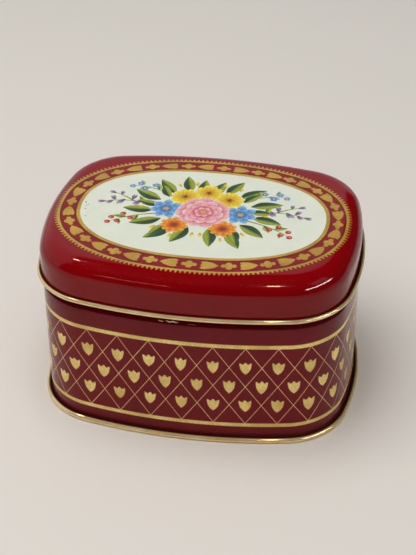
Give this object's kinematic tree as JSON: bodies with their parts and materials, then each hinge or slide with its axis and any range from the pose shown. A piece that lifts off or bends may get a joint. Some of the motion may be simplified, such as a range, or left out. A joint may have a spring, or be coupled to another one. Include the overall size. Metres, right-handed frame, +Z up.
{
  "type": "lidded tin",
  "caption": "Bow-sided tinplate box with rounded corners, a curled base seam and a lift-off slip lid that rests on a stepped, rolled neck.",
  "frame": {"origin": "middle of the footprint, on the ground under the base curl", "axes": "+Z up, +X along the tin's width to the right, +Y to the back"},
  "size_m": [0.1242, 0.0952, 0.0725],
  "materials": {
    "body_wall": "printed maroon tinplate, clear varnish",
    "base_plate": "gold-lacquered tinplate",
    "lid": "printed red tinplate, glossy varnish"
  },
  "bodies": {
    "tin": {"body_wall": "body_wall", "base_plate": "base_plate"},
    "lid": {"lid": "lid"}
  },
  "joints": [
    {"name": "lid_lift", "type": "slide", "parent": "tin", "child": "lid", "axis": [0, 0, 1], "range_m": [0, 0.05]}
  ]
}
